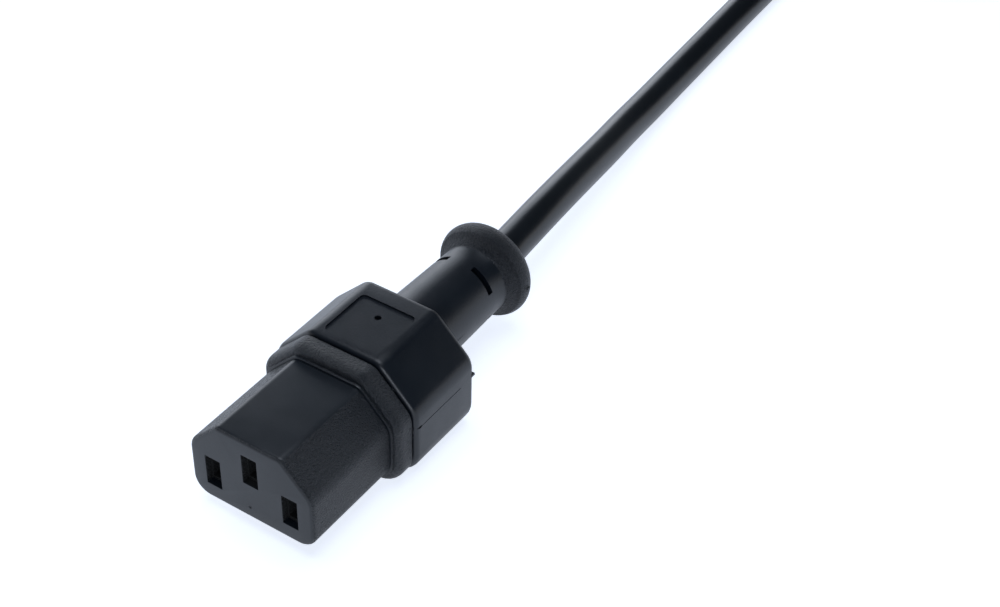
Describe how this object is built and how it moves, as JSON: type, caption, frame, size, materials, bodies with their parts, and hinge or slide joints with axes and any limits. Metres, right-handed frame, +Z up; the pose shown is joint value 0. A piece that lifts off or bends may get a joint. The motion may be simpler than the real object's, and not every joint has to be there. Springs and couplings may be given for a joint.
{
  "type": "power connector",
  "caption": "Moulded female appliance power connector with chamfered nose, grip and ribbed strain relief on a round lead ending in the matching male plug.",
  "frame": {"origin": "centre of the connector's mating face, on the nose's axis", "axes": "+Y from the mating face back along the lead, +X to the right seen from the front, +Z up towards the chamfered top"},
  "size_m": [0.052, 0.385, 0.0276],
  "materials": {
    "black_nose": "fine spark-eroded satin PVC",
    "black_grip": "satin PVC",
    "black_sheath": "smooth extruded PVC",
    "strap": "woven hook-and-loop",
    "cap_nylon": "natural nylon",
    "brass": "folded strip",
    "nickel": "nickel-plated brass",
    "copper": "bare strands",
    "brown_core": "extruded PVC",
    "blue_core": "extruded PVC",
    "earth_core": "extruded PVC"
  },
  "bodies": {
    "root": {"contact_carrier": "black_nose", "carrier_cap": "cap_nylon", "line_contact": "brass", "neutral_contact": "brass", "earth_contact": "brass", "line_strands": "copper", "neutral_strands": "copper", "earth_strands": "copper", "line_core": "brown_core", "neutral_core": "blue_core", "earth_core": "earth_core", "cord_sheath": "black_sheath", "grip_body": "black_grip", "cord_lead": "black_sheath", "cord_hank": "black_sheath", "left_tie": "strap", "right_tie": "strap", "cord_tail": "black_sheath", "plug_shroud": "black_nose", "plug_cap": "cap_nylon", "plug_line_pin": "nickel", "plug_neutral_pin": "nickel", "plug_earth_pin": "nickel", "plug_line_strands": "copper", "plug_neutral_strands": "copper", "plug_earth_strands": "copper", "plug_line_core": "brown_core", "plug_neutral_core": "blue_core", "plug_earth_core": "earth_core", "plug_sheath": "black_sheath", "plug_grip": "black_grip"}
  },
  "joints": []
}
